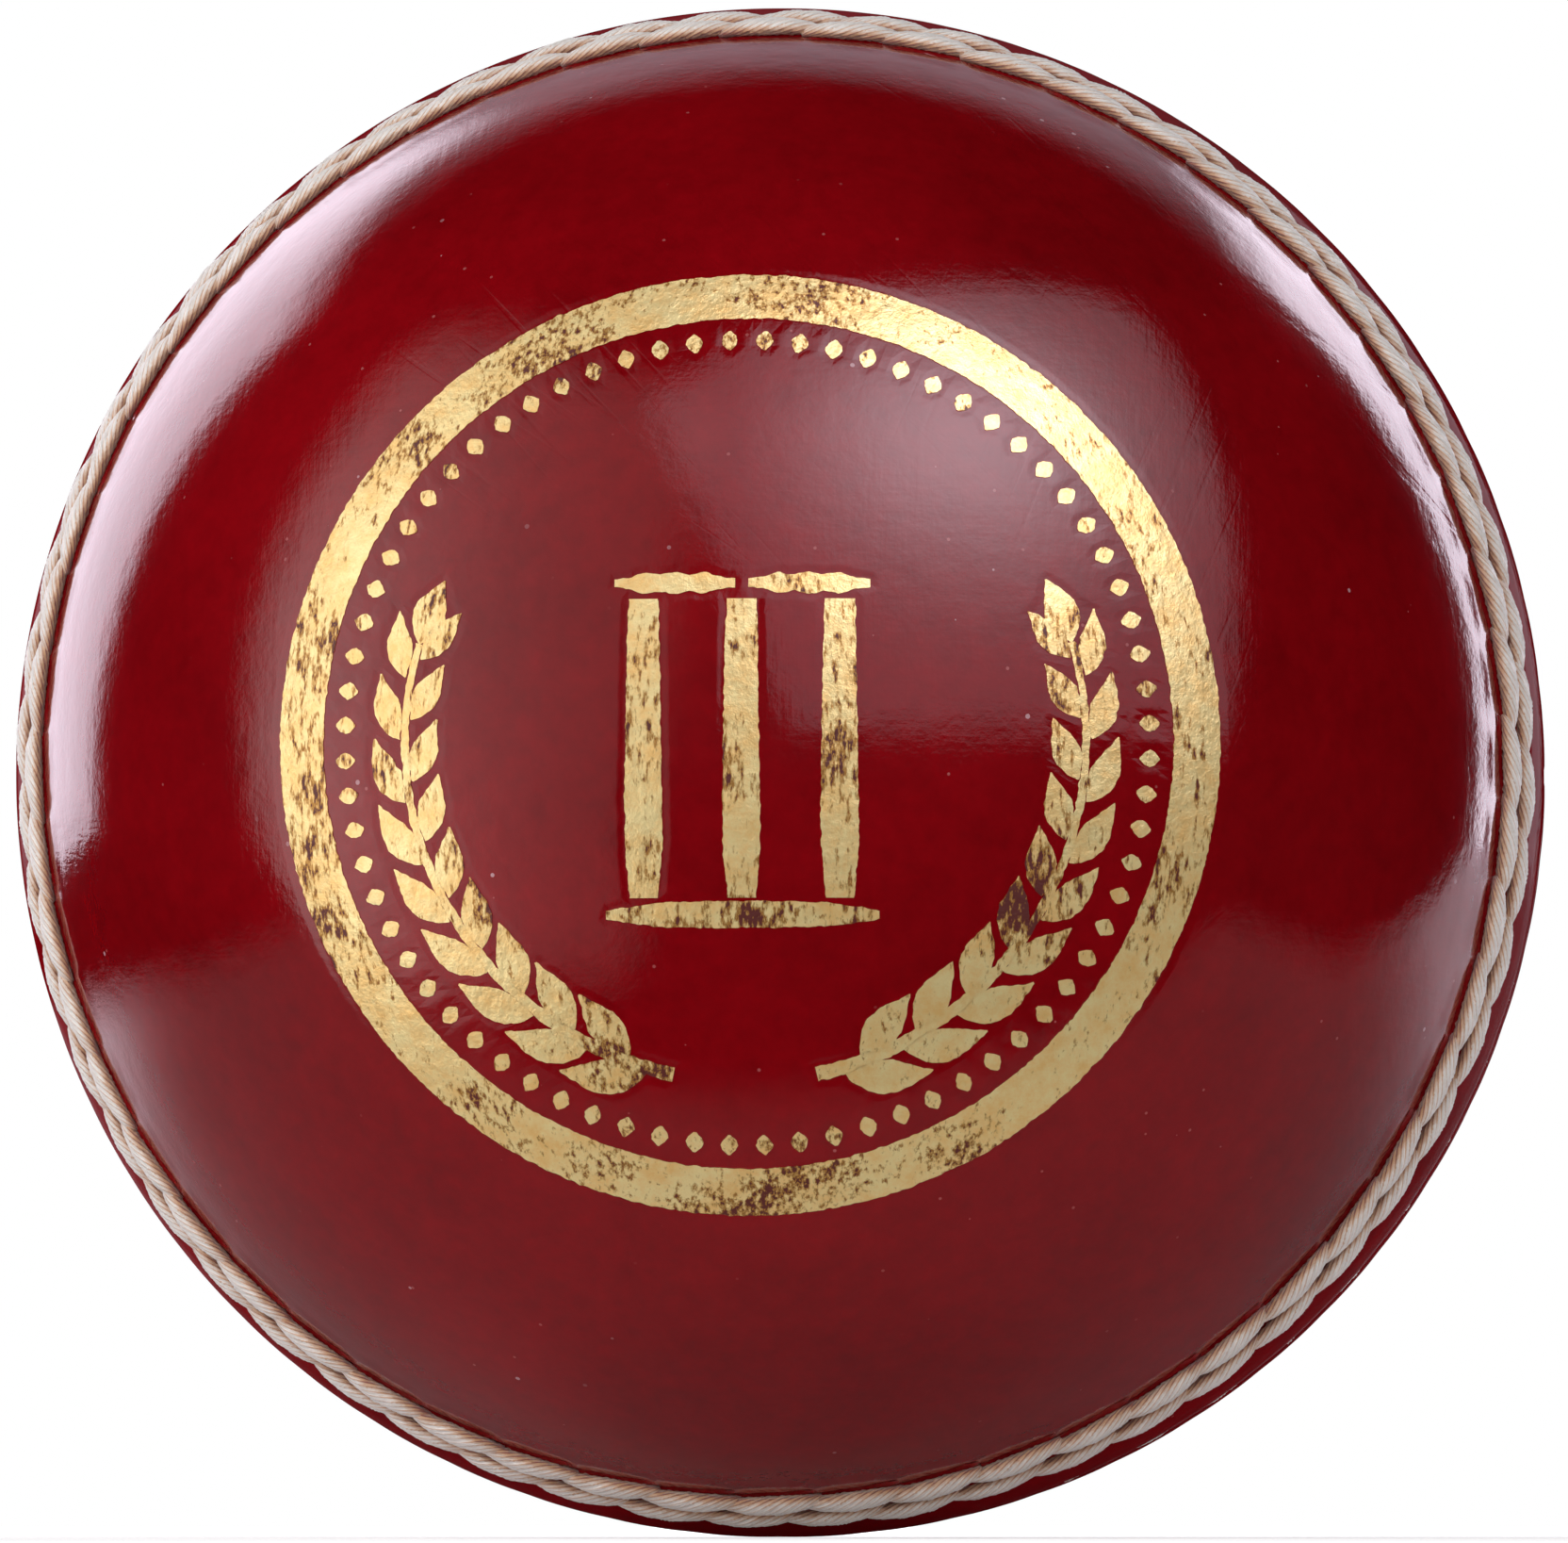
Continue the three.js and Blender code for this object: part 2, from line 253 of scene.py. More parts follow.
def point_value(tree, name):
    return node(tree, "ShaderNodeAttribute", attribute_name=name).outputs["Fac"]


def ramp(tree, source, stops):
    made = tree.nodes.new("ShaderNodeValToRGB")
    elements = made.color_ramp.elements
    while len(elements) < len(stops):
        elements.new(0.5)
    for element, (position, color) in zip(elements, stops):
        element.position = position
        element.color = (*color, 1.0)
    tree.links.new(source, made.inputs["Fac"])
    return made.outputs["Color"]


def math_node(tree, operation, *values):
    """A Math node on sockets or numbers."""
    made = tree.nodes.new("ShaderNodeMath")
    made.operation = operation
    for socket, value in zip(made.inputs, values):
        put(tree, socket, value)
    return made.outputs[0]


def product(tree, a, b):
    return math_node(tree, "MULTIPLY", a, b)


def mix_color(tree, factor, a, b):
    made = tree.nodes.new("ShaderNodeMix")
    made.data_type = "RGBA"
    factor_socket, a_socket, b_socket = made.inputs[0], made.inputs[6], made.inputs[7]
    for socket, value in ((factor_socket, factor), (a_socket, a), (b_socket, b)):
        put(tree, socket, value)
    return made.outputs[2]


def level(tree, value, low, high):
    """0 below low, 1 above high, and a soft step between them."""
    made = tree.nodes.new("ShaderNodeMapRange")
    made.interpolation_type = "SMOOTHSTEP"
    made.inputs["From Min"].default_value = low
    made.inputs["From Max"].default_value = high
    tree.links.new(value, made.inputs["Value"])
    return made.outputs["Result"]


def weighted(tree, parts):
    """Sum of (socket, weight) pairs."""
    total = None
    for socket, weight in parts:
        part = product(tree, socket, weight)
        total = part if total is None else math_node(tree, "ADD", total, part)
    return total


def bump(tree, shader, height, microns=1.0):
    """Relief whose height is in units of so many micrometres."""
    made = node(tree, "ShaderNodeBump", Strength=1.0, Distance=microns * MICRON)
    tree.links.new(height, made.inputs["Height"])
    tree.links.new(made.outputs["Normal"], shader.inputs["Normal"])
    return made.outputs["Normal"]


def dress(tree, shader, color, roughness, sheen=0.0):
    put(tree, shader.inputs["Base Color"], color)
    put(tree, shader.inputs["Roughness"], roughness)
    shader.inputs["Sheen Weight"].default_value = sheen


# ---- the leather: red dye under a glossy lacquer ----
DYE_DARK, DYE_LIGHT = (0.135, 0.0006, 0.0024), (0.225, 0.0012, 0.004)
DUST, FINE_DUST = (0.42, 0.22, 0.24), (0.32, 0.07, 0.07)
LACQUER_STARTS = (6.4 * MM, 8.2 * MM)  # from the join: it is rubbed thin along the stitching
LACQUER_LEAST = 0.1
LACQUER_ROUGHNESS = 0.085
LACQUER_IOR = 1.5
SCRATCHES = ((0.75, 5.0), (0.95, 4.0), (-0.35, 2.5))  # tilt in radians, depth in micrometres
STAMP_EDGE = (0.02, 0.42)  # millimetres from the foil, where the leather rises again
STAMP_DENT = 20.0  # micrometres


def dust(tree, place, scale, rarity, size, clusters):
    """1 at grains of dust caught in the lacquer."""
    cells = texture(tree, "ShaderNodeTexVoronoi", place, Scale=scale)
    picked = math_node(tree, "GREATER_THAN", chance(tree, cells), rarity)
    close = math_node(tree, "LESS_THAN", cells.outputs["Distance"], size)
    return product(tree, product(tree, picked, close), clusters)


def scratches(tree, place, tilt, density):
    """1 in thin lines that run one way, in patches."""
    turn = rotated(tree, place, (0.0, tilt, 0.0))
    lines = noise(tree, turn, 52.0, 2.0, 0.5, stretch=(34.0, 1.0, 1.0))
    where = level(tree, noise(tree, turn, 40.0, 1.0, 0.5), 0.46, 0.66)
    return product(tree, level(tree, lines, density, density + 0.1), where)


def leather_color(tree, place):
    mottle = noise(tree, place, 70.0, 6.0, 0.62)
    pores = noise(tree, place, 900.0, 4.0, 0.7)
    tone = weighted(tree, ((mottle, 0.6), (pores, 0.4)))
    color = ramp(tree, tone, [(0.34, DYE_DARK), (0.66, DYE_LIGHT)])
    clusters = level(tree, noise(tree, place, 75.0, 2.0, 0.5), 0.42, 0.6)
    speck = dust(tree, place, 620.0, 0.86, 0.07, clusters)
    fine_speck = dust(tree, place, 1500.0, 0.93, 0.12, clusters)
    color = mix_color(tree, speck, color, DUST)
    return mix_color(tree, fine_speck, color, FINE_DUST)


def leather_relief(tree, place):
    """Grain, polishing marks and scratches in the lacquer, and the dent round the pressed foil."""
    grain = noise(tree, place, 3600.0, 2.0, 0.6)
    hide = noise(tree, place, 1100.0, 3.0, 0.6)
    ripple = noise(tree, place, 230.0, 3.0, 0.5)
    upright = noise(tree, place, 330.0, 3.0, 0.6, stretch=(9.0, 1.0, 0.9))
    level_marks = noise(tree, place, 300.0, 3.0, 0.6, stretch=(1.0, 1.0, 8.0))
    patch = level(tree, noise(tree, place, 60.0, 2.0, 0.5), 0.4, 0.6)
    upright = product(tree, upright, patch)
    parts = [(grain, 4.5), (hide, 9.0), (ripple, 34.0), (upright, 7.0), (level_marks, 4.5)]
    parts += [(scratches(tree, place, tilt, 0.62), -depth) for tilt, depth in SCRATCHES]
    parts.append((level(tree, point_value(tree, "stamp_distance"), *STAMP_EDGE), STAMP_DENT))
    return weighted(tree, parts)


def leather_material():
    mat, tree, shader = material("lacquered_leather")
    place = object_place(tree)
    scuff = noise(tree, place, 60.0, 8.0, 0.7, stretch=(14.0, 14.0, 1.0))
    rough = math_node(tree, "MULTIPLY_ADD", scuff, 0.25, 0.22)
    dress(tree, shader, leather_color(tree, place), rough)
    shader.inputs["Specular IOR Level"].default_value = 0.0
    from_join = math_node(tree, "ABSOLUTE", axes(tree, place)["Y"])
    full = level(tree, from_join, *LACQUER_STARTS)
    lacquer = math_node(tree, "MULTIPLY_ADD", full, 1.0 - LACQUER_LEAST, LACQUER_LEAST)
    tree.links.new(lacquer, shader.inputs["Coat Weight"])
    shader.inputs["Coat Roughness"].default_value = LACQUER_ROUGHNESS
    shader.inputs["Coat IOR"].default_value = LACQUER_IOR
    normal = bump(tree, shader, leather_relief(tree, place))
    tree.links.new(normal, shader.inputs["Coat Normal"])
    return mat


# ---- the thread: waxed and twisted, with blotches of soil, painted shade in the grooves between its plies, and a red dye stain with painted shade at its sides, underside and ends, where it enters the leather ----
THREAD_SHADE, THREAD_LIGHT = (0.80, 0.62, 0.52), (1.0, 0.93, 0.88)
# orange-brown for soil and painted shade, dark red for the leather's dye and painted shadow
THREAD_SOIL_AND_SHADE, THREAD_DYE_AND_SHADOW = (0.70, 0.38, 0.20), (0.28, 0.05, 0.03)


def thread_material():
    mat, tree, shader = material("waxed_thread")
    strand = node(tree, "ShaderNodeUVMap", uv_map="strand").outputs["UV"]
    place = object_place(tree)
    crown = math_node(tree, "COSINE", product(tree, axes(tree, strand)["Y"], TAU))
    fibre = noise(tree, strand, 1.0, 4.0, 0.6, stretch=(1.6, 6.0, 1.0))
    blotch = noise(tree, place, 620.0, 5.0, 0.7)
    clean = ramp(tree, fibre, [(0.25, THREAD_SHADE), (0.55, THREAD_LIGHT)])
    rounded = math_node(tree, "MULTIPLY_ADD", crown, 0.5, 0.5)
    # painted shade: darker in the grooves between the plies
    groove_shade = ramp(tree, rounded, [(0.0, (1, 1, 1)), (0.45, (0, 0, 0))])
    # the thread darkens with its point value of stain and painted shade, with random blotches of soil, and
    # with the painted shade of the ply grooves
    soil_and_shade = math_node(tree, "ADD", point_value(tree, "stain_and_shade"), product(tree, blotch, 1.1))
    soil_and_shade = math_node(tree, "ADD", soil_and_shade, product(tree, groove_shade, 0.42))
    color = mix_color(tree, level(tree, soil_and_shade, 0.68, 1.25), clean, THREAD_SOIL_AND_SHADE)
    color = mix_color(tree, level(tree, soil_and_shade, 1.15, 1.7), color, THREAD_DYE_AND_SHADOW)
    dress(tree, shader, color, 0.4, sheen=0.5)
    lint = noise(tree, place, 2600.0, 3.0, 0.6)
    bump(tree, shader, weighted(tree, ((fibre, 75.0), (crown, 26.0), (lint, 45.0))))
    return mat


# ---- the foil: gold that is partly dulled and partly rubbed off ----
GOLD_DEEP, GOLD_BRIGHT = (0.96, 0.61, 0.22), (1.0, 0.80, 0.38)
GOLD_DULL, FOIL_BARE = (0.42, 0.2, 0.04), (0.10, 0.012, 0.008)
FOIL_METALLIC = 0.55


def foil_material():
    mat, tree, shader = material("pressed_gold_foil")
    place = object_place(tree)
    patch = noise(tree, place, 170.0, 3.0, 0.6)
    crackle = noise(tree, place, 3600.0, 3.0, 0.65, stretch=(1.0, 1.0, 0.32))
    tear = noise(tree, place, 700.0, 6.0, 0.75)
    worn = weighted(tree, ((crackle, 0.5), (tear, 0.2), (patch, 0.5)))
    bare = level(tree, worn, 0.685, 0.71)
    dull = level(tree, worn, 0.61, 0.69)
    tone = ramp(tree, tear, [(0.35, GOLD_DEEP), (0.6, GOLD_BRIGHT)])
    tone = mix_color(tree, dull, tone, GOLD_DULL)
    color = mix_color(tree, bare, tone, FOIL_BARE)
    dress(tree, shader, color, math_node(tree, "MULTIPLY_ADD", patch, 0.25, 0.24))
    metal = product(tree, math_node(tree, "SUBTRACT", 1.0, bare), FOIL_METALLIC)
    tree.links.new(metal, shader.inputs["Metallic"])
    wrinkle = noise(tree, place, 620.0, 5.0, 0.72)
    dents = noise(tree, place, 2400.0, 2.0, 0.6, stretch=(1.0, 1.0, 0.6))
    bump(tree, shader, weighted(tree, ((wrinkle, 110.0), (dents, 26.0))))
    return mat


# ---- the inside ----
CRUMB_DARK, CRUMB_MID, CRUMB_PALE = (0.20, 0.09, 0.04), (0.42, 0.23, 0.10), (0.58, 0.36, 0.18)
RUBBER = (0.035, 0.022, 0.018)
CRUMB_SCALE = 750.0
CORK_DARK, CORK_PALE, CORK_PORE = (0.40, 0.22, 0.10), (0.66, 0.44, 0.24), (0.12, 0.05, 0.025)
WOOL_DARK, WOOL_PALE, WOOL_GAP_SHADE = (0.50, 0.42, 0.30), (0.80, 0.73, 0.60), (0.20, 0.15, 0.10)
WINDING_TURNS = ((0.3, 0.2, 0.0), (1.3, 0.4, 0.7), (0.6, 1.2, 1.9))  # rotations of the crossing layers
HIDE_DARK, HIDE_PALE = (0.36, 0.19, 0.10), (0.58, 0.38, 0.24)
LINEN_DARK, LINEN_PALE = (0.34, 0.24, 0.15), (0.78, 0.68, 0.54)


def granulated_cork():
    """Cork crumbs bound in dark rubber."""
    mat, tree, shader = material("cork_and_rubber")
    place = object_place(tree)
    cells = texture(tree, "ShaderNodeTexVoronoi", place, Scale=CRUMB_SCALE)
    edges = texture(tree, "ShaderNodeTexVoronoi", place, Scale=CRUMB_SCALE, feature="DISTANCE_TO_EDGE")
    crumb = ramp(tree, chance(tree, cells), [(0.0, CRUMB_DARK), (0.5, CRUMB_MID), (1.0, CRUMB_PALE)])
    binder = level(tree, edges.outputs["Distance"], 0.04, 0.12)
    dress(tree, shader, mix_color(tree, binder, RUBBER, crumb), 0.85)
    grain = noise(tree, place, 4000.0, 3.0, 0.6)
    bump(tree, shader, weighted(tree, ((binder, 60.0), (grain, 25.0))))
    return mat


def sheet_cork():
    """Pale natural cork with dark pores and growth streaks."""
    mat, tree, shader = material("natural_cork")
    place = object_place(tree)
    streak = noise(tree, place, 180.0, 5.0, 0.6, stretch=(1.0, 1.0, 4.0))
    pores = noise(tree, place, 900.0, 4.0, 0.75, stretch=(1.0, 1.0, 2.0))
    pale = ramp(tree, streak, [(0.3, CORK_DARK), (0.7, CORK_PALE)])
    pit = level(tree, pores, 0.6, 0.68)
    dress(tree, shader, mix_color(tree, pit, pale, CORK_PORE), 0.88)
    bump(tree, shader, weighted(tree, ((pit, -120.0), (pores, 40.0), (streak, 60.0))))
    return mat


def wound_wool():
    """Worsted yarn wound round and round in crossing layers."""
    mat, tree, shader = material("wound_wool")
    place = object_place(tree)
    turns = []
    for angles in WINDING_TURNS:
        wave = texture(tree, "ShaderNodeTexWave", rotated(tree, place, angles),
                       Scale=260.0, Distortion=3.0, Detail=2.0)
        wave.inputs["Detail Scale"].default_value = 0.3
        turns.append(wave.outputs["Fac"])
    over = level(tree, noise(tree, place, 220.0, 2.0, 0.5), 0.47, 0.5)
    across = level(tree, noise(tree, place, 150.0, 2.0, 0.5), 0.52, 0.55)
    yarn = mix_color(tree, across, mix_color(tree, over, turns[0], turns[1]), turns[2])
    fibre = noise(tree, place, 3000.0, 4.0, 0.7)
    wool = ramp(tree, fibre, [(0.3, WOOL_DARK), (0.7, WOOL_PALE)])
    # painted shade: the gaps between the strands, where the relief is lowest, take a dark brown
    dress(tree, shader, mix_color(tree, yarn, WOOL_GAP_SHADE, wool), 0.95, sheen=0.4)
    bump(tree, shader, weighted(tree, ((yarn, 180.0), (fibre, 30.0))))
    return mat


def split_hide():
    """The napped inner side of alum-tanned hide."""
    mat, tree, shader = material("split_hide")
    place = object_place(tree)
    nap = noise(tree, place, 2600.0, 5.0, 0.7, stretch=(1.0, 1.0, 0.5))
    cloud = noise(tree, place, 90.0, 4.0, 0.6)
    tone = weighted(tree, ((nap, 0.5), (cloud, 0.5)))
    dress(tree, shader, ramp(tree, tone, [(0.36, HIDE_DARK), (0.64, HIDE_PALE)]), 0.93, sheen=0.3)
    bump(tree, shader, nap, microns=60.0)
    return mat


def linen_cord():
    """The plain twisted thread that closes the quarters from the inside."""
    mat, tree, shader = material("linen_cord")
    place = object_place(tree)
    twist = texture(tree, "ShaderNodeTexWave", place,
                    Scale=900.0, Distortion=1.5, bands_direction="DIAGONAL")
    fibre = noise(tree, place, 5000.0, 3.0, 0.6)
    # painted shade: the cord is darker where its twist lies deeper, and the fibre noise adds random tone
    tone = weighted(tree, ((twist.outputs["Fac"], 0.6), (fibre, 0.4)))
    dress(tree, shader, ramp(tree, tone, [(0.2, LINEN_DARK), (0.75, LINEN_PALE)]), 0.7)
    bump(tree, shader, tone, microns=70.0)
    return mat


INSIDES = (
    (granulated_cork, ("core_nut",)),
    (wound_wool, tuple(f"wool_winding_{k}" for k in range(1, 5))),
    (sheet_cork, tuple(f"cork_layer_{k}_piece_{n}" for k in range(1, 4) for n in range(1, 5))),
    (split_hide, ("lining_front", "lining_rear")),
    (linen_cord, ("quarter_seam_thread_front", "quarter_seam_thread_rear")),
)
for make_finish, names in INSIDES:
    inside_finish = make_finish()
    for name in names:
        for held in bpy.data.objects[name].material_slots:
            held.material = inside_finish


# ---- the stamp's shapes, flat, as its reader sees them, in millimetres ----
FOIL_TOP = 0.03  # over the cheek's sphere
FOIL_UNDER = -0.05
FOIL_CELLS = 4  # across a band of foil
FRAY = 0.03
FRAY_MARGIN = 4
BAND_STEP, BEAD_STEP, EDGE_STEP = 0.13, 0.1, 0.08
RING_OUTER, RING_INNER = 21.5, 19.4
BEAD_RADIUS, BEADS = 18.35, 72
BEAD_HALF_LENGTH = 0.45
BEAD = (0.05, 0.3, 0.4, 0.3, 0.05)  # half widths along it, as in the shapes below
STEM_RADIUS = 15.5
STEM = (0.32, 0.2, 0.16)
BRANCH_FROM, BRANCH_TO = 2.93, 1.28  # radians from the top
TIP_TURN = 0.2  # radians
LEAF_PAIRS = 9
LEAF = (0.03, 0.42, 0.68, 0.78, 0.72, 0.52, 0.26, 0.03)
LEAF_LENGTH, LEAF_SPREAD = 3.5, 1.45
LEAF_POINTS = 12
STUMP_SPACING, STUMP_WIDTH, STUMP_TOP, STUMP_FOOT = 4.45, 1.7, 6.3, -8.6
STUMP = (0.75, 1.0, 1.0, 0.96, 0.92, 0.88, 0.8)  # shares of half the stump's width
BAIL = (0.22, 0.26, 0.5, 0.36, 0.52, 0.36, 0.5, 0.26, 0.2)
BAIL_RISE, BAIL_START, BAIL_PAST = 0.72, 0.3, 1.35
GROUND = (0.2, 0.55, 0.6, 0.6, 0.55, 0.2)
GROUND_HALF, GROUND_RISE, STUMP_RISE = 6.2, 0.6, 1.35
FAR_FROM_STAMP = 3.0
FRAY_RNG = np.random.default_rng(21)


def fray(count, closed=False):
    """Small smooth wanderings of an edge."""
    raw = FRAY_RNG.normal(0.0, 1.0, count + 2 * FRAY_MARGIN)
    soft = np.convolve(raw, [0.2, 0.6, 0.2], mode="same")[FRAY_MARGIN:count + FRAY_MARGIN]
    if closed:
        soft[-1] = soft[0]
    return FRAY * soft


def resample(line, spacing):
    line = np.asarray(line, float)
    lengths = np.concatenate([[0.0], np.cumsum(np.linalg.norm(np.diff(line, axis=0), axis=1))])
    count = max(int(lengths[-1] / spacing), 3)
    at = np.linspace(0.0, lengths[-1], count + 1)
    return np.stack([np.interp(at, lengths, line[:, 0]), np.interp(at, lengths, line[:, 1])], -1)


def ribbon(line, half_widths, spacing=BAND_STEP, closed=False):
    """The two edges of a band along a line, with frayed sides."""
    middle = resample(line, spacing)
    steps = np.linspace(0.0, 1.0, len(middle))
    half = np.interp(steps, np.linspace(0.0, 1.0, len(half_widths)), half_widths)
    along = np.gradient(middle, axis=0)
    if closed:
        along[0] = along[-1] = middle[1] - middle[-2]
    along /= np.linalg.norm(along, axis=1, keepdims=True)
    across = np.stack([-along[:, 1], along[:, 0]], -1)
    left = middle + across * (half + fray(len(middle), closed))[:, None]
    right = middle - across * (half + fray(len(middle), closed))[:, None]
    return left, right, closed


def turned(radius, angle):
    """A point at an angle from the top, clockwise for the stamp's reader."""
    return np.stack([radius * np.sin(angle), radius * np.cos(angle)], -1)


def ring_ribbons():
    """A plain ring with a ring of beads inside it."""
    angles = np.linspace(0.0, TAU, 721)
    middle = turned((RING_OUTER + RING_INNER) / 2, angles)
    bands = [ribbon(middle, [(RING_OUTER - RING_INNER) / 2] * 2, closed=True)]
    for k in range(BEADS):
        angle = TAU * (k + 0.5) / BEADS
        ends = np.array([BEAD_RADIUS - BEAD_HALF_LENGTH, BEAD_RADIUS + BEAD_HALF_LENGTH])
        bands.append(ribbon(turned(ends, angle), BEAD, spacing=BEAD_STEP))
    return bands


def branch_ribbons(mirror):
    """A laurel branch: stem, pairs of leaves that shrink upwards, and a leaf at the tip."""
    angles = np.linspace(BRANCH_FROM, BRANCH_TO, 60)
    bands = [ribbon(turned(STEM_RADIUS, angles * mirror), STEM)]
    t = np.linspace(0.0, 1.0, LEAF_POINTS)
    for k in range(LEAF_PAIRS):
        base = BRANCH_FROM + (BRANCH_TO - BRANCH_FROM) * (k + 0.6) / LEAF_PAIRS
        size = 1.0 - 0.25 * k / LEAF_PAIRS
        for side in (-1, 1):
            radius = STEM_RADIUS + side * (0.25 + size * (LEAF_SPREAD * t**0.8))
            angle = base + 0.03 * side - size * (LEAF_LENGTH / STEM_RADIUS) * t
            bands.append(ribbon(turned(radius, angle * mirror), [w * size for w in LEAF]))
    tip = np.linspace(BRANCH_TO, BRANCH_TO - TIP_TURN, LEAF_POINTS)
    bands.append(ribbon(turned(STEM_RADIUS, tip * mirror), LEAF))
    return bands


def wicket_ribbons():
    """Three stumps, two bails and a line of ground."""
    bands = []
    half = STUMP_WIDTH / 2
    for x in (-STUMP_SPACING, 0.0, STUMP_SPACING):
        ends = [(x, STUMP_FOOT + STUMP_RISE), (x, STUMP_TOP)]
        bands.append(ribbon(ends, [half * share for share in STUMP]))
    for side in (-1, 1):
        height = STUMP_TOP + BAIL_RISE
        ends = [(side * BAIL_START, height), (side * (STUMP_SPACING + BAIL_PAST), height)]
        bands.append(ribbon(ends, BAIL))
    ends = [(-GROUND_HALF, STUMP_FOOT + GROUND_RISE), (GROUND_HALF, STUMP_FOOT + GROUND_RISE)]
    bands.append(ribbon(ends, GROUND))
    return bands


STAMP = {
    "stamp_ring": ring_ribbons(),
    "stamp_wicket": wicket_ribbons(),
    "stamp_branch_right": branch_ribbons(1),
    "stamp_branch_left": branch_ribbons(-1),
}


def inside(outline, points):
    """Even-odd test of points against one outline."""
    x, y = points[:, 0], points[:, 1]
    hit = np.zeros(len(points), bool)
    for (x0, y0), (x1, y1) in zip(outline, np.roll(outline, -1, axis=0)):
        crosses = (y0 > y) != (y1 > y)
        with np.errstate(divide="ignore", invalid="ignore"):
            hit ^= crosses & (x < x0 + (y - y0) * (x1 - x0) / (y1 - y0))
    return hit


def inside_ribbon(band, points):
    left, right, closed = band
    if closed:
        return inside(left, points) ^ inside(right, points)
    return inside(np.vstack([left, right[::-1]]), points)


def edge_tree(bands):
    """A search tree of points along the bands' edges."""
    edges = np.vstack([resample(edge, EDGE_STEP) for left, right, _ in bands for edge in (left, right)])
    tree = KDTree(len(edges))
    for i, edge in enumerate(edges):
        tree.insert((edge[0], edge[1], 0.0), i)
    tree.balance()
    return tree


def stamp_distance(points):
    """How far each point is from the foil, negative inside it."""
    bands = [band for group in STAMP.values() for band in group]
    tree = edge_tree(bands)
    reach = np.full(len(points), FAR_FROM_STAMP)
    near = (np.hypot(points[:, 0], points[:, 2]) < RING_OUTER + 2.0) & (points[:, 1] < -CHEEK / 2)
    flat = points[near][:, [0, 2]]
    found = np.array([tree.find((x, z, 0.0))[2] for x, z in flat])
    for band in bands:
        left, right, _ = band
        low = np.minimum(left.min(0), right.min(0))
        high = np.maximum(left.max(0), right.max(0))
        box = np.all((flat >= low) & (flat <= high), axis=1)
        picked = np.flatnonzero(box)[inside_ribbon(band, flat[box])]
        found[picked] = -np.abs(found[picked])
    reach[near] = found
    return reach


def on_cheek(flat, height):
    radius = CHEEK + height
    depth = np.sqrt(radius**2 - flat[..., 0] ** 2 - flat[..., 1] ** 2)
    return np.stack([flat[..., 0], -depth, flat[..., 1]], -1)


def foil_faces(first, rows, closed):
    """Faces of one band: its top and underside, its two edges and, if it is open, its two ends."""
    cells = FOIL_CELLS
    under = rows * (cells + 1)
    faces = []
    for i in range(rows if closed else rows - 1):
        a, b = first + i * (cells + 1), first + ((i + 1) % rows) * (cells + 1)
        for j in range(cells):
            faces.append((a + j, a + j + 1, b + j + 1, b + j))
            faces.append((a + j + under, b + j + under, b + j + 1 + under, a + j + 1 + under))
        faces.append((a, b, b + under, a + under))
        faces.append((b + cells, a + cells, a + cells + under, b + cells + under))
    if not closed:
        end = first + (rows - 1) * (cells + 1)
        for j in range(cells):
            faces.append((first + j + 1, first + j, first + j + under, first + j + 1 + under))
            faces.append((end + j, end + j + 1, end + j + 1 + under, end + j + under))
    return faces


def foil_object(name, bands, mat):
    points, faces, total = [], [], 0
    blend = np.linspace(0.0, 1.0, FOIL_CELLS + 1)[None, :, None]
    for left, right, closed in bands:
        grid = left[:, None, :] * (1 - blend) + right[:, None, :] * blend
        if closed:
            grid = grid[:-1]
        for height in (FOIL_TOP, FOIL_UNDER):
            points.append(on_cheek(grid, height).reshape(-1, 3))
        faces += foil_faces(total, len(grid), closed)
        total += 2 * len(points[-1])
    piece = new_object(name, np.vstack(points), faces, mat, smooth=False)
    shell = bmesh.new()
    shell.from_mesh(piece.data)
    bmesh.ops.recalc_face_normals(shell, faces=shell.faces)
    for face in shell.faces:
        face.smooth = face.normal.y < -0.2
    for edge in shell.edges:
        edge.smooth = edge.calc_face_angle(0.0) < 0.7
    shell.to_mesh(piece.data)
    shell.free()
    return piece


# ---- the leather cover, in millimetres ----
THICKNESS = 3.1
SEGMENTS = 280  # round half a cup
HALVED_AT = (30.0, 14.0, 6.0)  # distances from the pole where a ring has half as many segments
SEAM_RINGS = (0.03, 3.0, 0.18)  # from, to, step
RIDGE_RINGS = (3.0, 15.2, 0.26)
CHEEK_FIRST, CHEEK_STEP, CHEEK_LAST = 0.4, 0.7, 0.4  # past the ridge, between rings, before the pole
INNER_RINGS = 26
INNER_EVERY = 8  # segments outside for one inside
INNER_SEGMENTS = SEGMENTS // INNER_EVERY
INNER_RIM = 0.05
CROWDING = 0.8  # how much closer the mesh's columns stand at the quarter seam
CROWD_REACH = 3.0 / SEGMENTS
NORMAL_STEP = 0.04


def quarter_rings():
    """Rings from the join's edge to the pole: distances from the join and segment counts."""
    seam = np.concatenate([np.arange(*SEAM_RINGS), np.arange(*RIDGE_RINGS)])
    rings = [(distance, SEGMENTS) for distance in seam]
    distance = seam[-1] + CHEEK_FIRST
    while distance < POLE - CHEEK_LAST:
        halvings = sum(POLE - distance <= limit for limit in HALVED_AT)
        rings.append((distance, SEGMENTS >> halvings))
        distance += CHEEK_STEP
    return rings


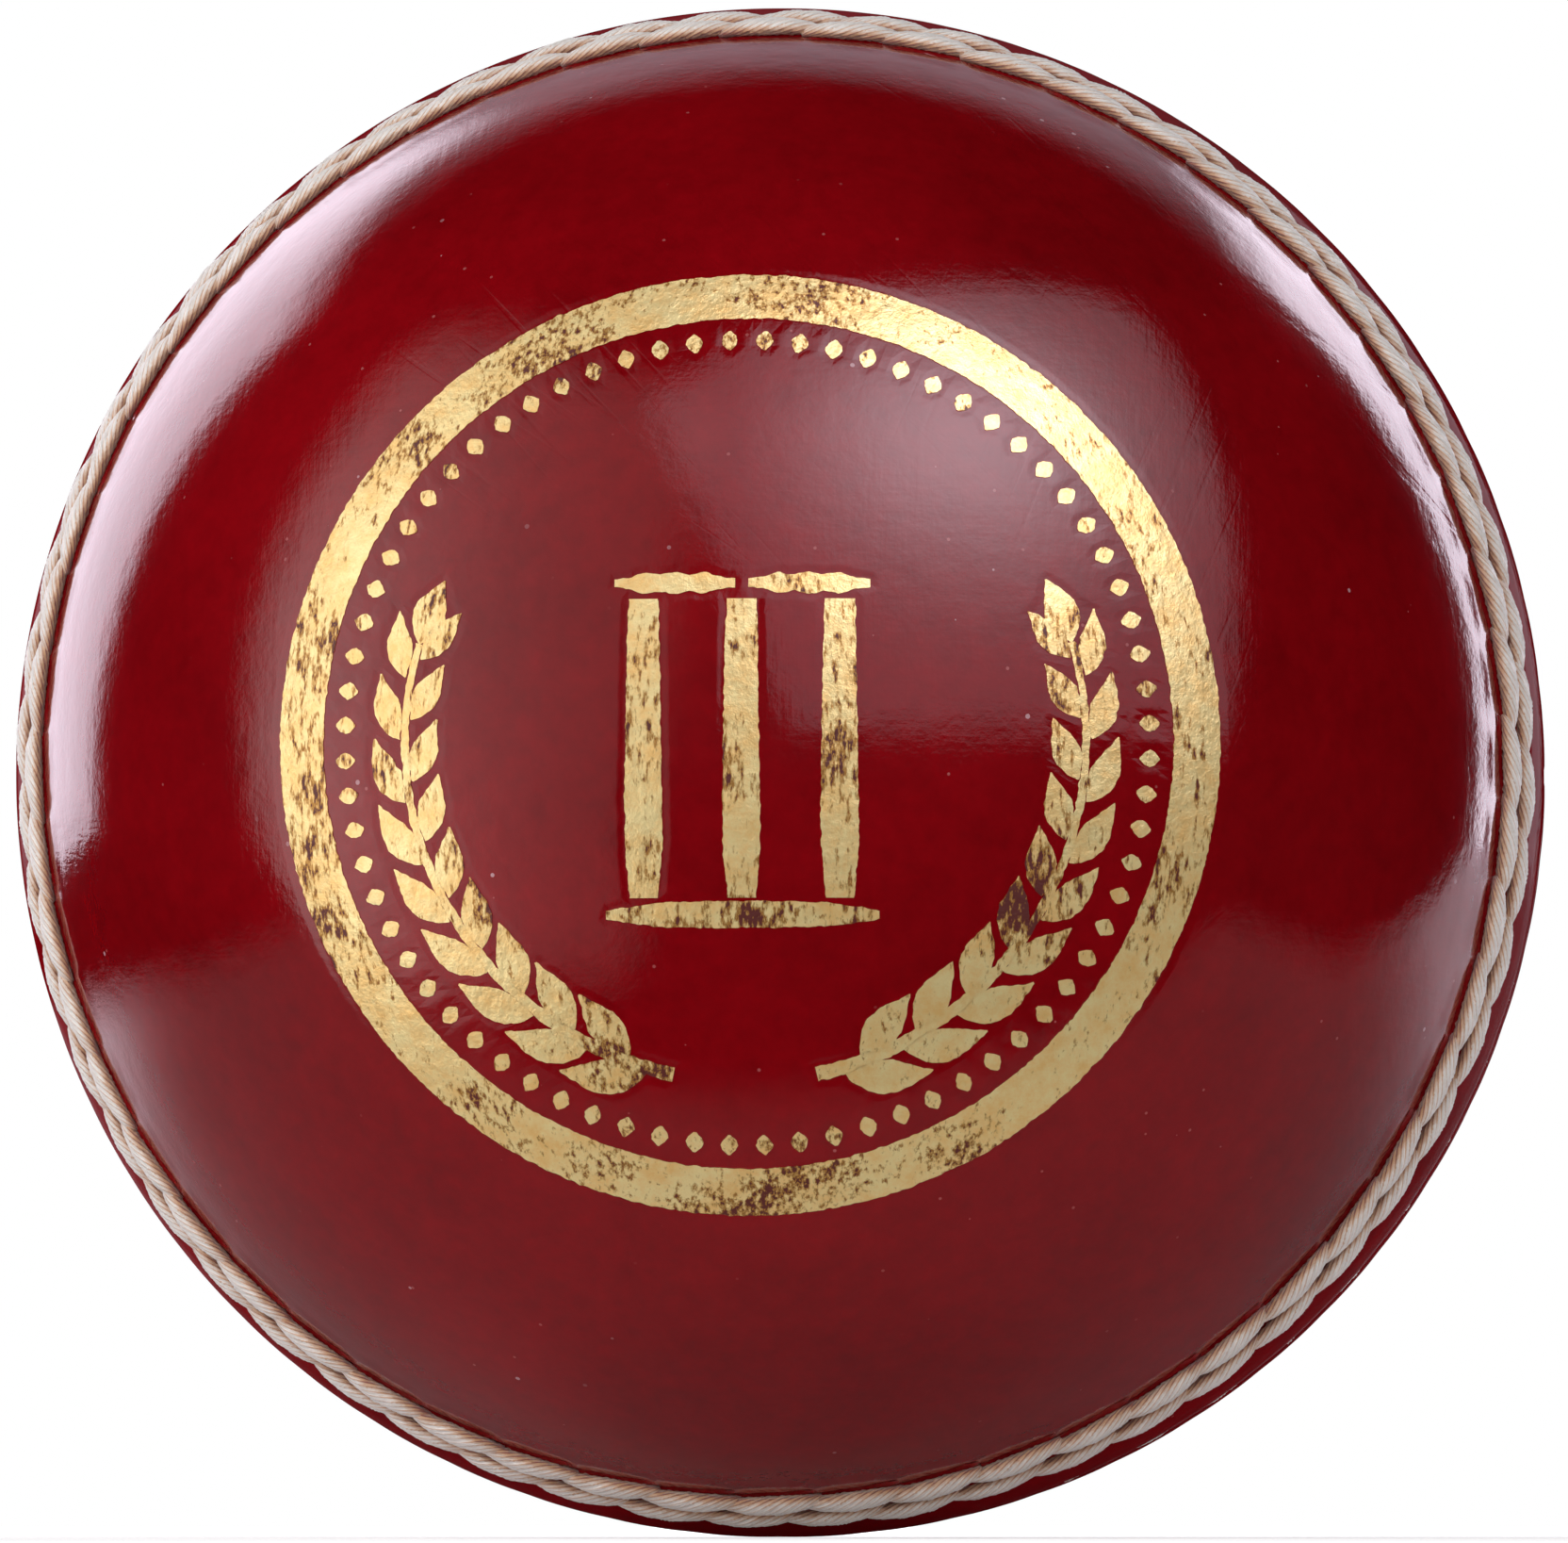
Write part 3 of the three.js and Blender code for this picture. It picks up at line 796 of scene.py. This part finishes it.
def ring_faces(first, first_count, second, second_count):
    """Faces between two neighbouring open rings, the second with as many segments or half as many."""
    faces = []
    if first_count == second_count:
        for i in range(first_count):
            faces.append((first + i, first + i + 1, second + i + 1, second + i))
        return faces
    for i in range(second_count):
        a = first + 2 * i
        faces.append((a, a + 1, second + i))
        faces.append((a + 1, second + i + 1, second + i))
        faces.append((a + 1, a + 2, second + i + 1))
    return faces


def surface_point(distance, azimuth, creased):
    return on_ball(CHEEK + cover_height(distance, azimuth, creased), distance, azimuth)


def surface_normal(distance, azimuth, creased):
    def at(further, turn):
        return surface_point(distance + further, azimuth + turn, creased)

    turn = NORMAL_STEP / CHEEK
    along = at(NORMAL_STEP, 0.0) - at(-NORMAL_STEP, 0.0)
    around = at(0.0, turn) - at(0.0, -turn)
    normal = np.cross(around, along)
    length = np.linalg.norm(normal, axis=-1, keepdims=True)
    return normal / np.maximum(length, 1e-9)


def columns(start, count):
    """Azimuths of a ring's points, closer together towards the quarter seam at both ends."""
    t = np.linspace(0.0, 1.0, count + 1)
    near_start = t * np.exp(-t / CROWD_REACH)
    near_end = (1.0 - t) * np.exp(-(1.0 - t) / CROWD_REACH)
    return start + math.pi * (t - CROWDING * (near_start - near_end))


class Shell:
    """The points, normals and faces of a piece, as they are added."""

    def __init__(self):
        self.points, self.normals, self.faces = [], [], []
        self.count = 0

    def add(self, points, normals):
        """Adds points, and says which is the first of them."""
        first = self.count
        self.points.append(points)
        self.normals.append(normals)
        self.count += len(points)
        return first

    def add_pole(self, radius, out):
        return self.add(np.array([[0.0, -radius, 0.0]]), np.array([[0.0, -out, 0.0]]))


def outer_skin(shell, start, rear):
    """The outside, from the join's edge to the pole. Each ring's first point and segments, and the pole."""
    rings = []
    for distance, count in quarter_rings():
        azimuth = columns(start, count)
        d = np.full(count + 1, distance)
        first = shell.add(surface_point(d, azimuth, rear), surface_normal(d, azimuth, rear))
        rings.append((first, count))
    for (first, count), (second, second_count) in zip(rings[:-1], rings[1:]):
        shell.faces += ring_faces(first, count, second, second_count)
    pole = shell.add_pole(CHEEK, 1.0)
    first, count = rings[-1]
    for i in range(count):
        shell.faces.append((first + i, first + i + 1, pole))
    return rings, pole


def inner_skin(shell, start):
    """The inside, in coarser rings from the pole back to the join: its pole, rings and rim."""
    radius = CHEEK - THICKNESS
    azimuth = columns(start, SEGMENTS)
    coarse = azimuth[::INNER_EVERY]
    *distances, edge = np.linspace(POLE, INNER_RIM, INNER_RINGS)[1:]
    pole = shell.add_pole(radius, -1.0)
    rings = []
    for distance in distances:
        ring = on_ball(radius, np.full(len(coarse), distance), coarse)
        rings.append(shell.add(ring, -ring / radius))
    ring = on_ball(radius, np.full(len(azimuth), edge), azimuth)
    rim = shell.add(ring, -ring / radius)
    for i in range(INNER_SEGMENTS):
        shell.faces.append((rings[0] + i + 1, rings[0] + i, pole))
    for a, b in zip(rings[:-1], rings[1:]):
        for i in range(INNER_SEGMENTS):
            shell.faces.append((a + i, a + i + 1, b + i + 1, b + i))
    for i in range(INNER_SEGMENTS):
        fan = [rim + INNER_EVERY * (i + 1) - k for k in range(INNER_EVERY + 1)]
        shell.faces.append((rings[-1] + i, rings[-1] + i + 1, *fan))
    return pole, rings, rim


def leather_quarter(name, start, rear, mat):
    """Half a cup, from azimuth start through half a turn."""
    shell = Shell()
    rings, pole = outer_skin(shell, start, rear)
    inner_pole, inner_rings, rim = inner_skin(shell, start)
    # the edge at the join
    edge = rings[0][0]
    for i in range(SEGMENTS):
        shell.faces.append((edge + i + 1, edge + i, rim + i, rim + i + 1))
    # the two faces at the quarter seam
    for far in (False, True):
        loop = [first + far * count for first, count in rings] + [pole, inner_pole]
        loop += [first + far * INNER_SEGMENTS for first in inner_rings] + [rim + far * SEGMENTS]
        shell.faces.append(tuple(loop if far else reversed(loop)))
    points, normals = np.vstack(shell.points), np.vstack(shell.normals)
    if rear:
        points, normals = to_rear(points), to_rear(normals)
    piece = new_object(name, points, shell.faces, mat, normals=normals)
    pressed = np.full(len(points), FAR_FROM_STAMP) if rear else stamp_distance(points)
    point_values(piece, "stamp_distance", pressed)
    return piece


leather = leather_material()
for name, start, rear, cad in (
    ("leather_front_right", -math.pi / 2, False, "leather_quarter_front_right"),
    ("leather_front_left", math.pi / 2, False, "leather_quarter_front_left"),
    ("leather_rear_top", -math.pi / 2, True, "leather_quarter_rear_top"),
    ("leather_rear_bottom", math.pi / 2, True, "leather_quarter_rear_bottom"),
):
    quarter = leather_quarter(name, start, rear, leather)
    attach(quarter, "root")
    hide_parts(cad)


# ---- the stitching, in millimetres ----
TOP_SIDES = 26  # of the thread's section, over the leather
UNDER_SIDES = 10
STEPS = 26
PLIES = 12
PLY_STEP = 0.52  # from one ply to the next along the row
PLY_DEPTH = 0.06
OVERLAP = 0.15  # of a stitch past its share of the row, at each end
ENDS = 0.004  # keeps the tips from closing to a point
END_WIDTH = 0.2  # share of the full width at the tips
END_THICK, BELLY_THICK = 0.10, 0.29
DIVE = 0.6  # how far the tips go into the leather
ROW_SINK = 0.05
JITTER = np.array([0.04, 0.02, 0.04, 0.2, 0.03])  # of place, height, width, lean and start
TURN = np.concatenate([
    np.linspace(0.0, math.pi, TOP_SIDES, endpoint=False),
    np.linspace(math.pi, TAU, UNDER_SIDES, endpoint=False),
])
SIDES = len(TURN)


def unit(vectors):
    return vectors / np.linalg.norm(vectors, axis=1, keepdims=True)


def stitch(middle, top, half_width, lean, first_azimuth, start_ply):
    """One slanted stitch: a flat twisted cord that rises out of the leather and dives back into it."""
    t = np.linspace(0.0, 1.0, STEPS + 1)
    azimuth = first_azimuth + PITCH * (t * (1 + 2 * OVERLAP) - OVERLAP)
    distance = middle + lean * (2 * t - 1)
    belly = np.sin(math.pi * np.clip(t, ENDS, 1.0 - ENDS)) ** 0.5
    width = (half_width * (END_WIDTH + (1.0 - END_WIDTH) * belly))[:, None]
    thick = END_THICK + BELLY_THICK * belly
    centre = on_ball(top - thick - DIVE * (1 - belly), distance, azimuth)
    belly, thick = belly[:, None], thick[:, None]
    run = np.gradient(centre, axis=0)
    length = np.linalg.norm(run, axis=1).sum()
    along = unit(run)
    side = unit(np.cross(along, unit(centre)))
    lift = np.cross(side, along)
    gone = t[:, None] * length
    ply = PLIES * TURN[None, :] / TAU - gone / PLY_STEP + start_ply
    uneven = 0.75 + 0.35 * np.sin(2.1 * ply + 9.0 * start_ply) + 0.2 * np.sin(3.7 * ply)
    bulge = PLY_DEPTH * np.cos(TAU * ply) * belly * uneven
    cos, sin = np.cos(TURN)[None, :], np.sin(TURN)[None, :]
    slope = np.hypot(cos / width, sin / thick)
    out_side = cos * width + bulge * cos / width / slope
    out_lift = sin * thick + bulge * sin / thick / slope
    points = centre[:, None, :] + out_side[..., None] * side[:, None, :]
    points = points + out_lift[..., None] * lift[:, None, :]
    low = 0.5 - 0.5 * sin
    # painted shade and dye stain: darker at the section's sides and underside, and towards the stitch's
    # ends where it goes into the leather
    stain_and_shade = np.clip(0.45 * np.abs(cos) ** 4 + 0.6 * low**2 + 0.75 * (1.0 - belly), 0.0, 1.0)
    uv = np.stack([np.broadcast_to(gone, ply.shape), ply], -1)
    return points, stain_and_shade, uv


def stitch_faces(base, uv):
    """Faces of one stitch with their corners' UVs: its side, then its two ends."""
    faces, corners = [], []
    for i in range(STEPS):
        for j in range(SIDES):
            n = (j + 1) % SIDES
            near, far = base + i * SIDES, base + (i + 1) * SIDES
            faces.append((near + j, near + n, far + n, far + j))
            wrap = (0, PLIES if n == 0 else 0)
            corners += [uv[i, j], uv[i, n] + wrap, uv[i + 1, n] + wrap, uv[i + 1, j]]
    faces.append(tuple(base + j for j in reversed(range(SIDES))))
    faces.append(tuple(base + STEPS * SIDES + j for j in range(SIDES)))
    corners += [uv[0, j] for j in reversed(range(SIDES))] + [uv[STEPS, j] for j in range(SIDES)]
    return faces, corners


def stitch_row(half, key, mat):
    middle, top = ROWS[key]
    half_width, lean = ROW_SHAPE[key]
    all_points, all_stain_and_shade, all_faces, all_corners = [], [], [], []
    for k in range(STITCHES):
        draw = RNG.normal(0.0, 1.0, len(JITTER))
        place, height, wide, tilt, start = JITTER * draw
        points, stain_and_shade, uv = stitch(
            middle - ROW_SHIFT + place, top - ROW_SINK + height, half_width * (1 + wide),
            lean * (1 + tilt), PITCH * (k + ROW_PHASE[key] + start), draw[0])
        faces, corners = stitch_faces(k * (STEPS + 1) * SIDES, uv)
        all_points.append(points.reshape(-1, 3))
        all_stain_and_shade.append(stain_and_shade.reshape(-1))
        all_faces += faces
        all_corners += corners
    points = np.vstack(all_points)
    if half == "rear":
        points = to_rear(points)
    piece = new_object(f"stitches_{half}_{key}", points, all_faces, mat)
    layer = piece.data.uv_layers.new(name="strand")
    layer.data.foreach_set("uv", np.asarray(all_corners).reshape(-1))
    point_values(piece, "stain_and_shade", np.concatenate(all_stain_and_shade))
    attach(piece, "root")
    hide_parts(f"stitch_row_{half}_{key}")


thread = thread_material()
for half in ("front", "rear"):
    for key in ROWS:
        stitch_row(half, key, thread)


# ---- the stamp ----
foil = foil_material()
for node_name, bands in STAMP.items():
    leaf = foil_object(node_name.replace("stamp", "foil"), bands, foil)
    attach(leaf, "root")
    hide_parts(node_name)


# ---- camera and light ----
WHITE = (1.0, 1.0, 1.0)
WARM = (1.0, 0.93, 0.93)
COOL = (0.95, 0.9, 1.0)
LILAC = (0.93, 0.87, 1.0)
LAMP_DISTANCE = 0.9
EULER = 2.71828
AMBIENT = 0.37
AMBIENT_SLOPE = (-3.0, -6.0, -2.6)  # more light from the camera's side and the left
AMBIENT_LEAST = 0.14


def camera_axes():
    """Towards the camera, and its right and up."""
    azimuth, elevation = CAMERA_AZIMUTH, CAMERA_ELEVATION
    flat = math.cos(elevation)
    towards = np.array([math.sin(azimuth) * flat, -math.cos(azimuth) * flat, math.sin(elevation)])
    right = np.array([math.cos(azimuth), math.sin(azimuth), 0.0])
    return towards, right, np.cross(right, -towards)


def aim(thing, target):
    direction = Vector(target) - thing.location
    thing.rotation_euler = direction.to_track_quat("-Z", "Y").to_euler()


def add_camera():
    towards, right, up = camera_axes()
    camera = bpy.data.objects.new("camera", bpy.data.cameras.new("camera"))
    bpy.context.scene.collection.objects.link(camera)
    target = right * AIM_RIGHT + up * AIM_UP
    camera.location = tuple(towards * CAMERA_DISTANCE + target)
    aim(camera, tuple(target))
    seen = BALL_SILHOUETTE / math.sqrt(CAMERA_DISTANCE**2 - BALL_SILHOUETTE**2)
    camera.data.sensor_width = SENSOR_WIDTH
    camera.data.lens = SENSOR_WIDTH * BALL_FILLS / (2 * seen)
    camera.data.clip_start = 0.01
    camera.data.clip_end = 50.0
    bpy.context.scene.camera = camera


def hot_spot(tree, place, across, upward, reach, extra):
    """1 and, round a point of the soft box, up to extra more."""
    du = math_node(tree, "DIVIDE", math_node(tree, "SUBTRACT", place["X"], across), reach)
    dv = math_node(tree, "DIVIDE", math_node(tree, "SUBTRACT", place["Y"], upward), reach)
    square = math_node(tree, "ADD", product(tree, du, du), product(tree, dv, dv))
    glow = math_node(tree, "POWER", EULER, product(tree, square, -1.0))
    return math_node(tree, "MULTIPLY_ADD", glow, extra, 1.0)


def soft_box_strength(tree, radiance, fade, hot):
    """The soft box's brightness, which fades towards its sides."""
    place = axes(tree, tree.nodes.new("ShaderNodeNewGeometry").outputs["Parametric"])
    strength = radiance
    for axis in ("X", "Y"):
        rise = level(tree, place[axis], 0.0, fade)
        fall = level(tree, math_node(tree, "SUBTRACT", 1.0, place[axis]), 0.0, fade)
        strength = product(tree, product(tree, rise, fall), strength)
    if hot is not None:
        strength = product(tree, strength, hot_spot(tree, place, *hot))
    return strength


def soft_box(name, across, upward, radiance, color, fade, hot=None, diffuse=True, roll=0.0):
    """A soft box seen from the ball: spans in degrees right of the camera and above it."""
    towards, right, _ = camera_axes()
    azimuth, elevation = math.radians(sum(across) / 2), math.radians(sum(upward) / 2)
    level_part = towards * math.cos(azimuth) + right * math.sin(azimuth)
    direction = level_part * math.cos(elevation) + np.array([0.0, 0.0, math.sin(elevation)])
    wide = math.radians(across[1] - across[0]) * math.cos(elevation)
    tall = math.radians(upward[1] - upward[0])
    light = bpy.data.lights.new(name, "AREA")
    light.shape = "RECTANGLE"
    light.size = 2 * LAMP_DISTANCE * math.tan(wide / 2)
    light.size_y = 2 * LAMP_DISTANCE * math.tan(tall / 2)
    light.energy = math.pi * light.size * light.size_y
    light.color = color
    light.use_nodes = True
    tree = light.node_tree
    strength = soft_box_strength(tree, radiance, fade, hot)
    tree.links.new(strength, tree.nodes["Emission"].inputs["Strength"])
    lamp = bpy.data.objects.new(name, light)
    bpy.context.scene.collection.objects.link(lamp)
    lamp.location = tuple(direction * LAMP_DISTANCE)
    aim(lamp, (0, 0, 0))
    lamp.rotation_euler.rotate_axis("Z", math.radians(roll))
    lamp.visible_camera = False
    lamp.visible_diffuse = diffuse


def add_world():
    """White behind the ball, soft light mostly from the front, and nothing in the reflections."""
    world = bpy.data.worlds.new("studio")
    world.use_nodes = True
    tree = world.node_tree
    background = tree.nodes["Background"]
    path = tree.nodes.new("ShaderNodeLightPath").outputs
    direction = tree.nodes.new("ShaderNodeTexCoord").outputs["Generated"]
    lean = node(tree, "ShaderNodeVectorMath", operation="DOT_PRODUCT")
    tree.links.new(direction, lean.inputs[0])
    lean.inputs[1].default_value = AMBIENT_SLOPE
    sided = product(tree, math_node(tree, "ADD", lean.outputs["Value"], 1.0), AMBIENT)
    sided = math_node(tree, "MAXIMUM", sided, AMBIENT_LEAST)
    ambient = product(tree, path["Is Diffuse Ray"], sided)
    strength = math_node(tree, "ADD", ambient, path["Is Camera Ray"])
    tree.links.new(strength, background.inputs["Strength"])
    put(tree, background.inputs["Color"], WHITE)
    bpy.context.scene.world = world


# ---- the floor, in metres ----
FLOOR_HALF = 6.0
FLOOR_SHADE, FLOOR_PALE = (0.78, 0.78, 0.78), (0.84, 0.84, 0.84)
BOUNCE = 0.22  # the floor's glow on the ball, as a share of what the camera sees
GLOW_NEAR, GLOW_MORE, GLOW_SPAN = 0.45, 0.7, (0.1, 0.5)  # brighter away from the ball
# what the lacquer reflects of it: a sheet of paper whose sides widen to the back, more on the right
PAPER_FRONT, PAPER_FRONT_FADE = -0.047, 0.006
PAPER_SIDES = (0.085, 0.13)
PAPER_LEFT_WIDENS, PAPER_RIGHT_WIDENS = 0.22, 0.93
PAPER_BACK_FROM, PAPER_BACK_TO = 0.0, 0.09
PAPER_FRONT_SHEEN, PAPER_BACK_SHEEN = (0.42, 0.42, 0.42), (1.6, 1.5, 1.6)


def floor_mirrored(tree, place):
    """The floor's colour in reflections."""
    back = math_node(tree, "MAXIMUM", place["Y"], 0.0)
    past_right = math_node(tree, "SUBTRACT", place["X"], product(tree, back, PAPER_RIGHT_WIDENS))
    leftward = product(tree, place["X"], -1.0)
    past_left = math_node(tree, "SUBTRACT", leftward, product(tree, back, PAPER_LEFT_WIDENS))
    aside = level(tree, math_node(tree, "MAXIMUM", past_right, past_left), *PAPER_SIDES)
    behind = level(tree, place["Y"], PAPER_BACK_FROM, PAPER_BACK_TO)
    sheen = mix_color(tree, behind, PAPER_FRONT_SHEEN, PAPER_BACK_SHEEN)
    return mix_color(tree, aside, sheen, (0.0, 0.0, 0.0))


def floor_glow(tree, position, path):
    """White to the camera away from the ball, and a little light on the ball from below."""
    radius = node(tree, "ShaderNodeVectorMath", operation="LENGTH")
    tree.links.new(position, radius.inputs[0])
    far = level(tree, radius.outputs["Value"], *GLOW_SPAN)
    glow = math_node(tree, "MULTIPLY_ADD", far, GLOW_MORE, GLOW_NEAR)
    lit = math_node(tree, "ADD", product(tree, path["Is Diffuse Ray"], BOUNCE), path["Is Camera Ray"])
    return product(tree, glow, lit)


def floor_material():
    mat, tree, shader = material("pale_floor")
    path = tree.nodes.new("ShaderNodeLightPath").outputs
    position = tree.nodes.new("ShaderNodeNewGeometry").outputs["Position"]
    place = axes(tree, position)
    grain = noise(tree, position, 300.0, 3.0, 0.6)
    pale = ramp(tree, grain, [(0.3, FLOOR_SHADE), (0.7, FLOOR_PALE)])
    color = mix_color(tree, path["Is Glossy Ray"], pale, floor_mirrored(tree, place))
    dress(tree, shader, color, 0.9)
    shader.inputs["Specular IOR Level"].default_value = 0.0
    tree.links.new(floor_glow(tree, position, path), shader.inputs["Emission Strength"])
    put(tree, shader.inputs["Emission Color"], WHITE)
    # in front of the paper's edge the reflections see through the floor
    clear = tree.nodes.new("ShaderNodeBsdfTransparent")
    mix = tree.nodes.new("ShaderNodeMixShader")
    table = level(tree, place["Y"], PAPER_FRONT - PAPER_FRONT_FADE, PAPER_FRONT + PAPER_FRONT_FADE)
    beyond = math_node(tree, "SUBTRACT", 1.0, table)
    tree.links.new(product(tree, beyond, path["Is Glossy Ray"]), mix.inputs["Fac"])
    tree.links.new(shader.outputs["BSDF"], mix.inputs[1])
    tree.links.new(clear.outputs["BSDF"], mix.inputs[2])
    tree.links.new(mix.outputs["Shader"], tree.nodes["Material Output"].inputs["Surface"])
    return mat


def add_floor():
    mesh = bpy.data.meshes.new("floor")
    signs = ((-1, -1), (1, -1), (1, 1), (-1, 1))
    corners = [(x * FLOOR_HALF, y * FLOOR_HALF, FLOOR_Z) for x, y in signs]
    mesh.from_pydata(corners, [], [(0, 1, 2, 3)])
    mesh.materials.append(floor_material())
    floor = bpy.data.objects.new("floor", mesh)
    bpy.context.scene.collection.objects.link(floor)


add_camera()
add_world()
add_floor()
# a hot spot: its place across and up the box, its reach, and how much brighter it is
soft_box("front_left", (-93, -13), (-38, 66), 0.45, WARM,
         fade=0.2, hot=(0.2, 0.42, 0.34, 4.0), diffuse=False)
soft_box("front_right", (-18, 88), (3, 76), 0.95, COOL,
         fade=0.11, hot=(0.51, 0.6, 0.22, 5.6), diffuse=False)
soft_box("back_left", (-162, -123), (-10, 42), 3.2, LILAC, fade=0.2)
soft_box("back_right", (130, 151), (-18, 38), 4.4, LILAC, fade=0.16, roll=-10)
soft_box("top", (-40, 40), (72, 108), 0.3, WHITE, fade=0.12, diffuse=False)
soft_box("back_top", (125, 235), (14, 54), 0.6, LILAC, fade=0.4, diffuse=False)
bpy.context.scene.view_settings.view_transform = "Standard"
